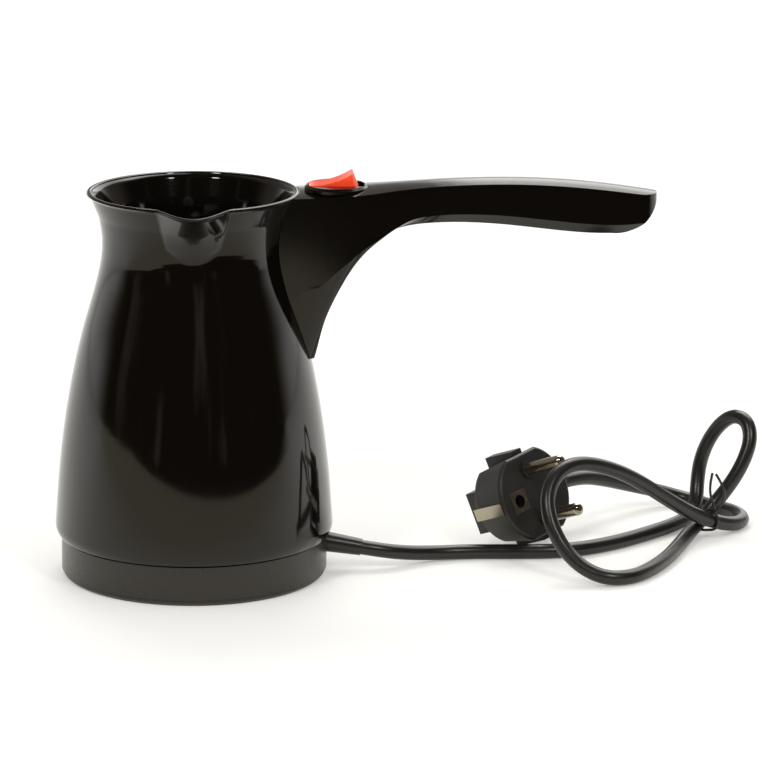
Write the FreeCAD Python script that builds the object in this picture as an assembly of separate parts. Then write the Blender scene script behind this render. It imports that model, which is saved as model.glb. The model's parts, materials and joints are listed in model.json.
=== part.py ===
import FreeCAD, Part
import math
import os
from FreeCAD import Vector

# Electric pot for boiling coffee: a waisted plastic jug on a heated base, a hollow handle with a
# round rocker switch, and a mains lead that ends in an angled plug.
# Millimetres. The origin is on the table at the jug's axis. +Z is up, +X runs along the handle
# and the spout points to -Y.

# jug
rim_height = 142.0
rim_radius = 38.4
waist_height = 123.0
waist_radius = 32.95
belly_radius = 50.75
belly_height = 19.5
seam_height = 14.6
seam_radius = 48.9
jug_wall = 2.0
body_curve = [(30.0, 50.0), (48.0, 48.35), (70.0, 45.0), (94.0, 39.45), (112.0, 34.4)]
neck_curve = [(134.0, 34.4), (139.0, 36.1)]
spout_reach = 10.5
spout_half_width = 12.5
spout_drop = 0.8
spout_tip_radius = 3.0
spout_taper = [(0.0, 1.0), (5.5, 0.66), (11.5, 0.32), (17.5, 0.05)]

# heated floor of the jug
floor_height = 28.0
floor_thickness = 2.4
floor_opening_radius = 36.9
plate_thickness = 0.8
plate_rim_radius = 40.0
plate_gap = 0.05
seal_thickness = 1.5
spreader_radius = 34.0
spreader_thickness = 3.0
clamp_ring_inner = 35.0
clamp_ring_outer = 40.4
clamp_ring_height = 2.9
clamp_ear_circle = 43.5
clamp_ear_radius = 4.0
clamp_ear_angles = (45.0, 135.0, 225.0, 315.0)
earth_tag_angle = 225.0

# heater
element_circle = 26.0
element_tube_radius = 3.25
element_open_angle = 70.0
cold_end_drop = 8.0
cold_pin_radius = 1.2
cold_pin_length = 5.0
thermostat_radius = 8.0
thermostat_body_height = 9.0
thermostat_screw_spacing = 24.0
thermostat_blade_length = 7.0
fuse_offset = 15.0
fuse_length = 16.0
fuse_sleeve_radius = 2.7
fuse_pin_reach = 12.0

# base
base_radius = 48.6
base_wall = 2.2
base_floor = 2.2
base_lip_height = 2.0
base_lip_step = 0.6
base_edge_round = 1.0
spigot_gap = 0.3
spigot_height = 4.0
spigot_wall = 2.0
base_screw_circle = 43.3
base_screw_angles = (90.0, 210.0, 330.0)
base_screw_recess = 4.6
post_radius = 3.0
post_foot_radius = 4.6
post_foot_shift = 1.2
block_width = 24.0
block_depth = 11.5
block_height = 9.5
block_centre = (13.0, -29.75)
block_ways = (-9.5, -4.7, 4.7, 9.5)
way_radius = 1.5
way_height = 6.0
way_entry = 1.1

# wire duct and handle fixing inside the jug's back wall
duct_half_angle = 9.0
duct_bore_half_angle = 6.3
duct_depth = 7.0
duct_wall = 1.6
duct_bore_top = 104.0
duct_top = 130.0
duct_window_height = 9.0
duct_window_width = 7.0
handle_screw_heights = (112.0, 124.0)
grommet_start = 37.8
grommet_end = 41.4
window_middle = duct_bore_top - 1 - duct_window_height / 2

# screws and seams
screw_shank = 1.45
screw_head = 2.7
screw_head_height = 1.6
screw_clearance = 0.15
pilot_clearance = 0.05
seat_gap = 0.1
seam_gap = 0.15

# handle
handle_wall = 2.2
root_wall = 2.5
handle_end = 167.8
handle_top = [(38.0, 141.2), (54.0, 141.9), (70.0, 143.2), (90.0, 144.8), (110.0, 145.4),
              (130.0, 144.9), (150.0, 143.1), (167.8, 140.6)]
handle_underside = [(34.0, 44.0), (41.6, 74.0), (43.9, 81.5), (47.2, 95.0), (52.4, 107.0), (61.5, 120.7),
                    (72.0, 128.3), (86.0, 131.0), (115.0, 130.1), (151.0, 127.1)]
handle_tip_low = (163.3, 131.2)
handle_crease = [(20.0, 92.0), (34.0, 105.5), (41.6, 112.0), (52.4, 121.8), (61.5, 128.2), (72.0, 132.6),
                 (86.0, 134.0), (115.0, 133.6), (151.0, 130.2), (167.8, 133.0)]
handle_half_widths = [(20.0, 12.0), (40.0, 12.8), (52.0, 13.0), (60.0, 12.5), (69.0, 10.6),
                      (79.0, 8.7), (92.0, 7.9), (120.0, 7.7), (160.8, 7.3)]
handle_foot_half_width = 5.2
handle_end_round = 7.0
cover_edge = 1.0
lid_gap = 0.05
cover_crown = 0.9
lower_seam = [(40.0, 77.5), (42.6, 85.0), (45.4, 96.0), (50.7, 109.8), (60.6, 122.6), (72.0, 129.0),
              (80.0, 131.2)]
tail_tip_height = 81.2

# switch
switch_x = 51.6
switch_seat = 142.3
bezel_radius = 11.5
bezel_height = 2.0
switch_body_radius = 10.0
switch_body_depth = 14.3
switch_body_gap = 0.15
switch_wall = 1.3
rocker_length = 16.6
rocker_width = 10.0
rocker_pivot_drop = 4.2
rocker_rise = 7.0
rocker_dish = 1.3
rocker_gap = 0.35
rocker_rest_angle = 16.0
rocker_end_radius = 9.0
rocker_pin_radius = 1.2
rocker_pin_gap = 0.06
plunger_radius = 1.4
plunger_reach = 7.6
contact_length = 11.0
contact_width = 4.0
contact_thickness = 0.8
contact_rest_angle = 8.0
contact_pin_radius = 0.6
blade_width = 4.8
blade_thickness = 0.8
blade_length = 7.2
blade_spacing = 6.2
fixed_contact_reach = 3.4
fixed_contact_thickness = 0.6
blade_foot_half = 1.6
well_half_length = 7.0
lamp_radius = 1.2
lamp_length = 7.0
lamp_side = 3.55

# lead
cord_radius = 2.75
exit_height = 10.4
exit_slope = 10.0
bush_neck_radius = 3.7
bush_tip_radius = 3.1
bush_outside = 13.0
bush_flange_radius = 5.6
bush_flange_thickness = 1.8
bush_flange_setback = 1.2
cord_tail_length = 30.0
core_radius = 0.8
core_spacing = 1.75
wire_radius = 0.7
lead_spacing = 2.3
tag_radius = 3.0
tag_thickness = 0.6
tag_reach = 6.4
tie_wire = 0.55
tie_tails = 15.0
tie_runs = (19, 20, 36, 37)
tie_half_height = 4.1
tie_corner = 3.0
tie_leans = ((-0.6, 0.0, 0.0), (0.9, 0.0, -1.6))
first_run = 9.2
last_run = 10.0
cord_run = [(79.5, 4.6, 4.5), (89.5, 9.4, 3.1), (102.0, 12.0, 2.8), (118.0, 11.4, 2.8),
            (137.0, 11.6, 2.8), (154.5, 20.2, 2.8), (170.5, 34.6, 2.8), (183.4, 48.4, 2.8),
            (190.2, 57.2, 3.8), (192.8, 62.6, 8.4), (193.4, 66.4, 15.2), (194.6, 68.4, 22.8),
            (197.4, 67.8, 30.8), (201.4, 64.8, 38.0), (206.0, 60.0, 42.6), (210.4, 54.8, 41.8),
            (211.6, 50.8, 35.8), (209.9, 47.9, 28.0), (206.2, 46.4, 19.8), (201.8, 46.4, 12.0),
            (196.6, 43.6, 5.6), (191.2, 35.4, 3.0), (185.2, 21.6, 2.8), (175.8, 1.2, 2.8),
            (166.2, -15.0, 2.8), (158.6, -23.6, 2.8), (149.6, -26.0, 3.2), (141.4, -22.8, 6.0),
            (134.6, -18.6, 12.0), (130.0, -14.6, 20.6), (128.6, -9.6, 29.4), (132.2, -4.0, 36.6),
            (139.6, 1.6, 39.4), (149.6, 7.8, 37.0), (163.0, 15.8, 30.6), (178.8, 25.4, 19.8),
            (192.6, 33.6, 10.4), (202.4, 40.2, 5.6), (209.4, 46.0, 3.2), (213.6, 53.4, 2.8),
            (213.4, 61.6, 2.8), (209.4, 68.8, 2.8), (203.0, 74.6, 2.8), (196.8, 80.8, 2.8),
            (189.2, 85.0, 3.6), (180.0, 84.8, 6.2), (168.4, 78.8, 10.2), (157.4, 70.2, 14.8)]

# plug
plug_face = (127.5, 21.6)
plug_radius = 18.2
plug_rear_radius = 16.0
plug_flat = 16.2
plug_rear_flat = 13.6
plug_depth = 17.0
plug_edge_round = 1.4
grip_width = 16.0
grip_reach = 13.8
grip_depth = 22.5
grip_tail = 15.0
rib_width = 5.0
rib_proud = 1.5
pin_spacing = 19.0
pin_radius = 2.4
pin_length = 19.0
pin_tip_round = 1.6
pin_collar_radius = 3.3
pin_collar_height = 1.0
pin_root = 8.0
pin_fit = 0.02
earth_hole_radius = 2.4
earth_hole_offset = 9.5
earth_hole_depth = 14.0
earth_strip_width = 4.6
earth_strip_length = 15.5
earth_strip_thickness = 1.4
earth_strip_proud = 0.5
earth_plate_size = 8.4
plug_neck_depth = 16.5
plug_neck_start = 8.0
plug_neck_length = 24.0
plug_neck_radius = 6.2
plug_neck_tip = 3.4
plug_neck_sag = 8.5
plug_forward = Vector(0.63, -0.69, 0.355)
plug_pin_line = Vector(-0.35, 0.155, 0.924)

up = Vector(0, 0, 1)
origin = Vector(0, 0, 0)


def at(x, y, z):
    return Vector(x, y, z)


def polar(radius, degrees, z):
    angle = math.radians(degrees)
    return Vector(radius * math.cos(angle), radius * math.sin(angle), z)


def rod(radius, base, tip):
    axis = tip - base
    return Part.makeCylinder(radius, axis.Length, base, axis)


def ring(outer, inner, low, high):
    return rod(outer, at(0, 0, low), at(0, 0, high)).cut(rod(inner, at(0, 0, low), at(0, 0, high)))


def block(low, high):
    size = high - low
    return Part.makeBox(size.x, size.y, size.z, low)


def joined(shapes):
    return shapes[0].multiFuse(shapes[1:]).removeSplitter()


def save(name, shape):
    solids = shape.Solids
    result = solids[0] if len(solids) == 1 else Part.Compound(solids)
    result.exportStep("parts/" + name + ".step")
    print(name, len(solids), "solids, volume", round(result.Volume, 1), "valid", result.isValid())


def lines(points):
    return [Part.makeLine(a, b) for a, b in zip(points, points[1:])]


def curve_through(points):
    spline = Part.BSplineCurve()
    spline.interpolate(points)
    return spline.toShape()


def upright(pairs):
    return [at(x, 0, z) for x, z in pairs]


def polygon_face(points):
    return Part.Face(Part.makePolygon(points + [points[0]]))


def lathe(pairs):
    return polygon_face(upright(pairs)).revolve(origin, up, 360)


def screw(head_base, tip, head_radius=screw_head):
    axis = (tip - head_base).normalize()
    head_top = head_base + axis * screw_head_height
    head = rod(head_radius, head_base, head_top)
    slot = rod(head_radius * 0.45, head_base, head_base + axis * (screw_head_height * 0.5))
    return head.cut(slot).fuse(rod(screw_shank, head_top, tip)).removeSplitter()


# jug

def jug_outline(offset):
    rising = [(belly_height, belly_radius)] + body_curve + [(waist_height, waist_radius)]
    rising = rising + neck_curve + [(rim_height, rim_radius)]
    side = [at(r + offset, 0, z) for z, r in rising]
    foot = at(seam_radius + offset, 0, seam_height)
    tuck_middle = at(belly_radius - 0.3 + offset, 0, (seam_height + belly_height) / 2)
    tuck = Part.Arc(foot, tuck_middle, side[0]).toShape()
    return [tuck, curve_through(side)]


def jug_solid(offset, rise=0.0):
    tuck, side = jug_outline(offset)
    rim = rim_radius + offset
    path = [at(rim, 0, rim_height), at(rim, 0, rim_height + rise)] if rise else [at(rim, 0, rim_height)]
    path = path + [at(0, 0, rim_height + rise), at(0, 0, seam_height), at(seam_radius + offset, 0, seam_height)]
    return Part.Face(Part.Wire([tuck, side] + lines(path))).revolve(origin, up, 360)


def spout_section(scale, z, inset):
    reach = rim_radius * 0.86 + (spout_reach + rim_radius * 0.14) * scale - inset
    half = spout_half_width * (0.35 + 0.65 * scale) - inset * 0.6
    back = 20.0
    tip = spout_tip_radius
    lean = math.atan2(half, reach - rim_radius * 0.86 + 4.0)
    side = at(half, -rim_radius * 0.86 + 4.0 * (1 - scale), z)
    left = at(-side.x, side.y, z)
    touch = at(tip * math.cos(lean), -reach + tip * (1 - math.sin(lean)), z)
    mirror = at(-touch.x, touch.y, z)
    nose = Part.Arc(touch, at(0, -reach, z), mirror).toShape()
    sides = lines([mirror, left, at(-half, -back, z), at(half, -back, z), side, touch])
    return Part.Wire([nose] + sides)


def spout_form(inset):
    wires = [spout_section(scale, rim_height - drop, inset) for drop, scale in spout_taper]
    return Part.makeLoft(wires, True, False)


def wedge(half_angle, low, high):
    far = 70.0
    side = far * math.tan(math.radians(half_angle))
    face = polygon_face([at(0, 0, low), at(far, -side, low), at(far, side, low)])
    return face.extrude(at(0, 0, high - low))


def make_jug():
    outer = jug_solid(0).fuse(spout_form(0))
    above = rod(60, at(0, 0, floor_height + floor_thickness), at(0, 0, rim_height + 1))
    below = rod(60, at(0, 0, seam_height - 1), at(0, 0, floor_height))
    inner = jug_solid(-jug_wall, 1.0)
    hollow = inner.common(above).fuse(inner.common(below)).fuse(spout_form(jug_wall))
    lip_room = rod(rim_radius - jug_wall, at(0, 0, rim_height - 0.01), at(0, 0, rim_height + 2))
    skin = inner.fuse(jug_solid(0))
    rib_zone = skin.cut(jug_solid(-jug_wall - duct_depth, 1.0))
    rib = rib_zone.common(wedge(duct_half_angle, floor_height + 0.5, duct_top))
    bore_zone = jug_solid(-jug_wall, 1.0).cut(jug_solid(-jug_wall - duct_depth + duct_wall, 1.0))
    bore = bore_zone.common(wedge(duct_bore_half_angle, floor_height - 1, duct_bore_top))
    shell = outer.cut(hollow).fuse(rib)
    posts = []
    pilots = []
    for angle in clamp_ear_angles:
        foot = polar(clamp_ear_circle, angle, floor_height - 2.4)
        posts.append(rod(post_radius, foot, foot + at(0, 0, 3.0)))
        pilots.append(rod(screw_shank + pilot_clearance, foot - up, foot + up * 3.5))
    for angle in base_screw_angles:
        foot = polar(base_screw_circle, angle, column_top + 0.2)
        posts.append(rod(post_radius, foot, polar(base_screw_circle, angle, floor_height + 0.5)))
        pilots.append(rod(screw_shank + pilot_clearance, foot - up, polar(base_screw_circle, angle, 26.8)))
    for height in handle_screw_heights:
        pilots.append(rod(screw_shank + pilot_clearance, at(28.5, 0, height), at(45, 0, height)))
    window_low = at(30, -duct_window_width / 2, duct_bore_top - duct_window_height - 1)
    window_high = at(48, duct_window_width / 2, duct_bore_top - 1)
    opening = rod(floor_opening_radius, at(0, 0, floor_height - 1), at(0, 0, floor_height + 5))
    slope = polygon_face([at(-20, -rim_radius + 0.5, rim_height), at(-20, -60, rim_height - spout_drop * 2.2),
                          at(-20, -60, rim_height + 8), at(-20, -rim_radius + 0.5, rim_height + 8)])
    tools = [bore, block(window_low, window_high), opening, lip_room, slope.extrude(at(40, 0, 0))]
    return shell.multiFuse(posts).cut(tools[0].multiFuse(tools[1:] + pilots)).removeSplitter()


column_top = 20.3
spigot_top = seam_height + spigot_height
exit_direction = Vector(math.cos(math.radians(exit_slope)), 0, -math.sin(math.radians(exit_slope)))
exit_point = at(base_radius, 0, exit_height)
tail_start = exit_point + exit_direction * bush_outside
tail_end = tail_start - exit_direction * cord_tail_length
clamp_station = exit_point - exit_direction * 13.0
clamp_seat = clamp_station.z + 0.4
clamp_half = at(2.5, 10.6, 0)
clamp_screw_side = 7.6
block_foot = base_floor + 2.0
block_seat = block_foot + 0.05
block_mid = at(block_centre[0], block_centre[1], block_seat)
way_z = block_seat + way_height - 2.05
way_front = block_centre[1] + block_depth / 2
way_back = block_centre[1] - block_depth / 2


def cord_bore(radius):
    return rod(radius, tail_end - exit_direction * 10, tail_start + exit_direction * 10)


def make_base():
    r = base_radius
    lip = r - base_lip_step
    top = seam_height - seat_gap
    outer = lathe([(0, 0), (lip - base_edge_round, 0), (lip, base_edge_round), (lip, base_lip_height),
                   (r, base_lip_height + base_lip_step / 2), (r, top), (0, top)])
    spigot_outer = seam_radius - jug_wall - spigot_gap
    spigot_inner = spigot_outer - spigot_wall
    spigot_foot = seam_height - 3.5
    room = rod(r - base_wall, at(0, 0, base_floor), at(0, 0, 30))
    collar = ring(spigot_outer, spigot_inner, spigot_foot, spigot_top)
    shelf = ring(r - base_wall + 0.5, spigot_inner, spigot_foot, top)
    shape = outer.cut(room).fuse(shelf).fuse(collar)
    solids = []
    holes = []
    for angle in base_screw_angles:
        solids.append(rod(post_foot_radius, polar(base_screw_circle - post_foot_shift, angle, 0.5),
                          polar(base_screw_circle - post_foot_shift, angle, 9.0)))
        solids.append(rod(post_radius, polar(base_screw_circle, angle, 0.5),
                          polar(base_screw_circle, angle, column_top)))
        holes.append(rod(screw_head + 0.3, polar(base_screw_circle, angle, -1),
                         polar(base_screw_circle, angle, base_screw_recess)))
        holes.append(rod(screw_shank + screw_clearance, polar(base_screw_circle, angle, -1),
                         polar(base_screw_circle, angle, 30)))
    cradle_low = at(clamp_station.x, 0, 1) - clamp_half
    cradle_high = at(clamp_station.x, 0, clamp_seat) + clamp_half
    solids.append(block(cradle_low, cradle_high))
    for side in (-1, 1):
        spot = at(clamp_station.x, side * clamp_screw_side, 0)
        holes.append(rod(screw_shank + pilot_clearance, spot + up * (clamp_seat + 1), spot + up * (base_floor + 1)))
    solids.append(rod(post_radius, at(block_mid.x, block_mid.y, 1), at(block_mid.x, block_mid.y, block_foot)))
    holes.append(rod(screw_shank + pilot_clearance, at(block_mid.x, block_mid.y, 1.2),
                     at(block_mid.x, block_mid.y, block_foot + 1)))
    half = bush_flange_radius + 0.3
    keep_out = block(at(r - 8, -half, exit_height - 6), at(r + 5, half, 40))
    holes.append(keep_out.common(ring(r - base_wall, r - 12, 0, 40)))
    holes.append(rod(bush_neck_radius + 0.1, exit_point - exit_direction * 6, exit_point + exit_direction * 6))
    holes.append(cord_bore(cord_radius + seat_gap).common(rod(r - 3, at(0, 0, 0), at(0, 0, 40))))
    mouth = bush_neck_radius + 0.05
    holes.append(block(at(r - 8, -mouth, exit_height), at(r + 5, mouth, 40)))
    return shape.multiFuse(solids).cut(holes[0].multiFuse(holes[1:])).removeSplitter()


# small pieces of the base

def make_base_screws():
    low = base_screw_recess - screw_head_height - 0.05
    return Part.Compound([screw(polar(base_screw_circle, a, low), polar(base_screw_circle, a, 26.4))
                          for a in base_screw_angles])


def make_cord_clamp():
    middle = at(clamp_station.x, 0, clamp_seat)
    strap = block(middle - clamp_half + at(0, 0, 0.05), middle + clamp_half + at(0, 0, 1.6))
    arch = rod(cord_radius + 1.7, at(clamp_station.x - clamp_half.x, 0, clamp_station.z),
               at(clamp_station.x + clamp_half.x, 0, clamp_station.z))
    arch = arch.common(block(middle - clamp_half + at(0, 0, 0.05), middle + clamp_half + at(0, 0, 12)))
    shape = strap.fuse(arch).cut(cord_bore(cord_radius + seat_gap))
    for side in (-1, 1):
        shape = shape.cut(rod(screw_shank + screw_clearance, at(clamp_station.x, side * clamp_screw_side, 0),
                              at(clamp_station.x, side * clamp_screw_side, 30)))
    return shape.removeSplitter()


def make_cord_clamp_screws():
    top = clamp_seat + 1.65 + screw_head_height
    return Part.Compound([screw(at(clamp_station.x, side * clamp_screw_side, top),
                                at(clamp_station.x, side * clamp_screw_side, base_floor + 1.5))
                          for side in (-1, 1)])


def along_exit(pairs):
    face = polygon_face([at(r, 0, s) for s, r in pairs])
    shape = face.revolve(origin, up, 360)
    turn = FreeCAD.Rotation(up, exit_direction)
    shape.Placement = FreeCAD.Placement(exit_point, turn)
    return shape


def make_cord_bush():
    inner = cord_radius + 0.05
    wall_in = -base_wall - bush_flange_setback
    pairs = [(wall_in - bush_flange_thickness, inner), (wall_in - bush_flange_thickness, bush_flange_radius),
             (wall_in - 0.1, bush_flange_radius), (wall_in - 0.1, bush_neck_radius), (0.6, bush_neck_radius),
             (bush_outside, bush_tip_radius), (bush_outside, inner)]
    return along_exit(pairs)


def make_terminal_block():
    half = at(block_width / 2, block_depth / 2, 0)
    shape = block(block_mid - half, block_mid + half + at(0, 0, block_height))
    top = block_seat + block_height
    shape = shape.cut(rod(screw_shank + screw_clearance, block_mid, block_mid + at(0, 0, 40)))
    shape = shape.cut(rod(screw_head + 0.3, at(block_mid.x, block_mid.y, top - 3.05), block_mid + at(0, 0, 40)))
    for x in way_xs():
        shape = shape.cut(rod(way_radius, at(x, way_back - 1, way_z), at(x, way_front + 1, way_z)))
        shape = shape.cut(rod(1.4, at(x, block_mid.y, way_z), at(x, block_mid.y, 40)))
    return shape.removeSplitter()


def way_xs():
    return [block_mid.x + offset for offset in block_ways]


def make_terminal_screws():
    # the fixing screw in the middle, then the clamping screw of each way
    seat = block_seat + block_height - 3.0
    items = [screw(at(block_mid.x, block_mid.y, seat + screw_head_height),
                   at(block_mid.x, block_mid.y, base_floor + 0.5))]
    for x in way_xs():
        items.append(rod(1.3, at(x, block_mid.y, way_z + 1.2),
                         at(x, block_mid.y, block_seat + block_height + 0.4)))
    return Part.Compound(items)


# heater pieces

ring_top = floor_height - seal_thickness - 2 * plate_gap - plate_thickness
clamp_ring_low = ring_top - 0.05 - clamp_ring_height


def make_plate():
    low = ring_top
    top = floor_height + 1.3
    r = floor_opening_radius - 0.7
    return lathe([(0, top - plate_thickness), (r - plate_thickness - 0.6, top - plate_thickness),
                  (r - plate_thickness, top - plate_thickness - 0.6), (r - plate_thickness, low),
                  (plate_rim_radius, low), (plate_rim_radius, low + plate_thickness),
                  (r, low + plate_thickness), (r, top - 0.6), (r - 0.6, top), (0, top)])


def make_seal():
    low = ring_top + plate_thickness + plate_gap
    return ring(plate_rim_radius + 0.2, floor_opening_radius - 0.4, low, low + seal_thickness)


def make_spreader():
    top = floor_height + 1.3 - plate_thickness - plate_gap
    disc = rod(spreader_radius, at(0, 0, top - spreader_thickness), at(0, 0, top))
    shape = disc
    for side in (-1, 1):
        y = side * thermostat_screw_spacing / 2
        shape = shape.fuse(rod(2.6, at(0, y, spreader_low - 2.7), at(0, y, spreader_low + 1)))
        shape = shape.cut(rod(1.25, at(0, y, spreader_low - 4), at(0, y, spreader_low + 2)))
    return shape.removeSplitter()


spreader_low = floor_height + 1.3 - plate_thickness - plate_gap - spreader_thickness
element_height = spreader_low - element_tube_radius - 0.05


def make_element():
    half = element_open_angle / 2
    start = polar(element_circle, 180 + half, element_height)
    end = polar(element_circle, 180 - half, element_height)
    path = Part.Wire([Part.Arc(start, polar(element_circle, 0, element_height), end).toShape()])
    tangent = polar(1, 270 + half, 0)
    profile = Part.Wire([Part.makeCircle(element_tube_radius, start, tangent)])
    pieces = [path.makePipeShell([profile], True, True)]
    for corner in (start, end):
        low = corner - up * cold_end_drop
        pieces.append(Part.makeSphere(element_tube_radius, corner))
        pieces.append(rod(element_tube_radius, low, corner))
        pieces.append(rod(cold_pin_radius, low - up * cold_pin_length, low))
    return pieces[0].multiFuse(pieces[1:])


def make_thermostat():
    flange_top = spreader_low - 2.75
    cap = rod(thermostat_radius, at(0, 0, flange_top), at(0, 0, spreader_low - 0.05))
    body = rod(thermostat_radius - 0.3, at(0, 0, flange_top - 0.8 - thermostat_body_height), at(0, 0, flange_top))
    half = thermostat_screw_spacing / 2 + 3.2
    flange = block(at(-4, -half, flange_top - 0.8), at(4, half, flange_top))
    for side in (-1, 1):
        flange = flange.cut(rod(1.4, at(0, side * thermostat_screw_spacing / 2, 0),
                                at(0, side * thermostat_screw_spacing / 2, 40)))
    low = flange_top - 0.8 - thermostat_body_height
    pieces = [cap, body, flange]
    for side in (-1, 1):
        blade = at(side * 4.4, 0, low)
        pieces.append(block(blade - at(0.4, 3.15, thermostat_blade_length), blade + at(0.4, 3.15, 0)))
    return joined(pieces)


def make_thermostat_screws():
    seat = spreader_low - 2.75 - 0.8 - 0.05
    items = []
    for side in (-1, 1):
        y = side * thermostat_screw_spacing / 2
        head = rod(2.4, at(0, y, seat - 1.4), at(0, y, seat))
        items.append(head.fuse(rod(1.2, at(0, y, seat), at(0, y, spreader_low + 1.5))).removeSplitter())
    return Part.Compound(items)


def make_fuse_sleeve():
    z = spreader_low - fuse_sleeve_radius - 0.05
    tube = rod(fuse_sleeve_radius, at(fuse_offset, -fuse_length / 2, z), at(fuse_offset, fuse_length / 2, z))
    return tube.cut(rod(2.1, at(fuse_offset, -20, z), at(fuse_offset, 20, z)))


def make_fuse():
    z = spreader_low - fuse_sleeve_radius - 0.05
    body = rod(2.0, at(fuse_offset, -5.5, z), at(fuse_offset, 5.5, z))
    wire = rod(0.5, at(fuse_offset, -fuse_pin_reach, z), at(fuse_offset, fuse_pin_reach, z))
    return body.fuse(wire).removeSplitter()


def make_fuse_strap():
    z = spreader_low - fuse_sleeve_radius - 0.05
    outer = fuse_sleeve_radius + 0.65
    band = rod(outer, at(fuse_offset, -3, z), at(fuse_offset, 3, z))
    upper = block(at(fuse_offset - outer, -3, z), at(fuse_offset + outer, 3, spreader_low - 0.05))
    feet = block(at(fuse_offset - outer - 2.2, -3, spreader_low - 0.65),
                 at(fuse_offset + outer + 2.2, 3, spreader_low - 0.05))
    inner = fuse_sleeve_radius + 0.05
    shape = band.fuse(upper).fuse(feet).cut(rod(inner, at(fuse_offset, -4, z), at(fuse_offset, 4, z)))
    shape = shape.cut(block(at(fuse_offset - inner, -4, z), at(fuse_offset + inner, 4, spreader_low)))
    return shape.common(block(at(-40, -3, 0), at(40, 3, spreader_low - 0.05)))


def make_clamp_ring():
    low, high = clamp_ring_low, clamp_ring_low + clamp_ring_height
    shape = ring(clamp_ring_outer, clamp_ring_inner, low, high)
    middle = rod(clamp_ring_inner + 1, at(0, 0, 0), at(0, 0, 60))
    for angle in clamp_ear_angles:
        ear = rod(clamp_ear_radius, polar(clamp_ear_circle, angle, low), polar(clamp_ear_circle, angle, high))
        shape = shape.fuse(ear.cut(middle))
    for angle in clamp_ear_angles:
        shape = shape.cut(rod(screw_shank + screw_clearance, polar(clamp_ear_circle, angle, 0),
                              polar(clamp_ear_circle, angle, 60)))
    return shape.removeSplitter()


def make_clamp_screws():
    items = []
    for angle in clamp_ear_angles:
        seat = clamp_ring_low - 0.05
        if angle == earth_tag_angle:
            seat = seat - tag_thickness - 0.05
        items.append(screw(polar(clamp_ear_circle, angle, seat - screw_head_height),
                           polar(clamp_ear_circle, angle, floor_height + 0.8)))
    return Part.Compound(items)


# handle

def shifted(pairs, distance):
    # each point moves along the left-hand normal of the line through its neighbours
    moved = []
    for i, (x, z) in enumerate(pairs):
        before = pairs[max(i - 1, 0)]
        after = pairs[min(i + 1, len(pairs) - 1)]
        dx, dz = after[0] - before[0], after[1] - before[1]
        length = math.hypot(dx, dz)
        moved.append((x - dz / length * distance, z + dx / length * distance))
    return moved


def value_at(pairs, x):
    for (x0, v0), (x1, v1) in zip(pairs, pairs[1:]):
        if x <= x1:
            return v0 + (v1 - v0) * (x - x0) / (x1 - x0)
    return pairs[-1][1]


def handle_side(inset, rise):
    # the side view of the handle as a slab, its top at the cover's seam or higher by the rise
    top = [(x, z - cover_edge - lid_gap + rise) for x, z in handle_top]
    under = shifted(handle_underside, inset)
    tip_low = (handle_tip_low[0] - inset * 0.7, handle_tip_low[1] + inset * 0.7)
    end = handle_end - inset
    top = [p for p in top if p[0] < end - 8] + [(end, top[-1][1])]
    edges = [curve_through(upright(top)), curve_through(upright(under))]
    start = under[-1]
    corner = at(end, 0, top[-1][1])
    below = corner - up * (0.6 + rise)
    edges.append(Part.Arc(at(start[0], 0, start[1]), at(tip_low[0], 0, tip_low[1]), below).toShape())
    edges += lines([below, corner])
    edges += lines(upright([under[0], (20, under[0][1]), (20, top[0][1]), top[0]]))
    face = Part.Face(Part.Wire(Part.__sortEdges__(edges)))
    return face.extrude(at(0, 60, 0)).translated(at(0, -30, 0))


def handle_plan(inset, low=tail_tip_height, high=160.0):
    sides = [(x, w - inset) for x, w in handle_half_widths]
    end = handle_end - inset
    last_x = end - handle_end_round
    sides = [p for p in sides if p[0] < last_x - 6] + [(last_x, sides[-1][1])]
    far = curve_through([at(x, w, low) for x, w in sides])
    near = curve_through([at(x, -w, low) for x, w in sides])
    half = sides[-1][1]
    nose = Part.Arc(at(last_x, half, low), at(end, 0, low), at(last_x, -half, low)).toShape()
    back = lines([at(sides[0][0], -sides[0][1], low), at(sides[0][0], sides[0][1], low)])
    return Part.Face(Part.Wire([far, nose, near] + back)).extrude(at(0, 0, high - low))


def facet_cutter(side):
    # what the sloping lower band of one flank takes away, between the crease and the underside
    foot = handle_foot_half_width
    wide = 16.0
    deep = 40.0
    under = handle_underside + [(handle_end + 1, handle_underside[-1][1] + 4.0)]
    outer = []
    for x, z in under:
        half = value_at(handle_half_widths, x)
        rise = (value_at(handle_crease, x) - z) * (wide - foot) / (half - foot)
        outer.append((x, z + rise))
    wires = []
    for pairs, y in ((under, side * foot), (outer, side * wide)):
        edge = curve_through([at(x, y, z) for x, z in pairs])
        first, last = pairs[0], pairs[-1]
        rest = lines([at(last[0], y, last[1]), at(last[0], y, deep), at(first[0], y, deep),
                      at(first[0], y, first[1])])
        wires.append(Part.Wire([edge] + rest))
    return Part.makeLoft(wires, True, True)


def handle_form(inset, rise=0.0):
    shape = handle_side(inset, rise).common(handle_plan(inset))
    for side in (-1, 1):
        shape = shape.cut(facet_cutter(side).translated(at(0, -side * inset * 0.55, inset * 0.85)))
    return shape


def lower_zone(gap):
    top = [(x, z - gap) for x, z in lower_seam]
    wall = curve_through(upright(top))
    rest = lines(upright([top[-1], (top[-1][0], 60), (top[0][0], 60), top[0]]))
    face = Part.Face(Part.Wire([wall] + rest))
    return face.extrude(at(0, 60, 0)).translated(at(0, -30, 0))


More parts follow.
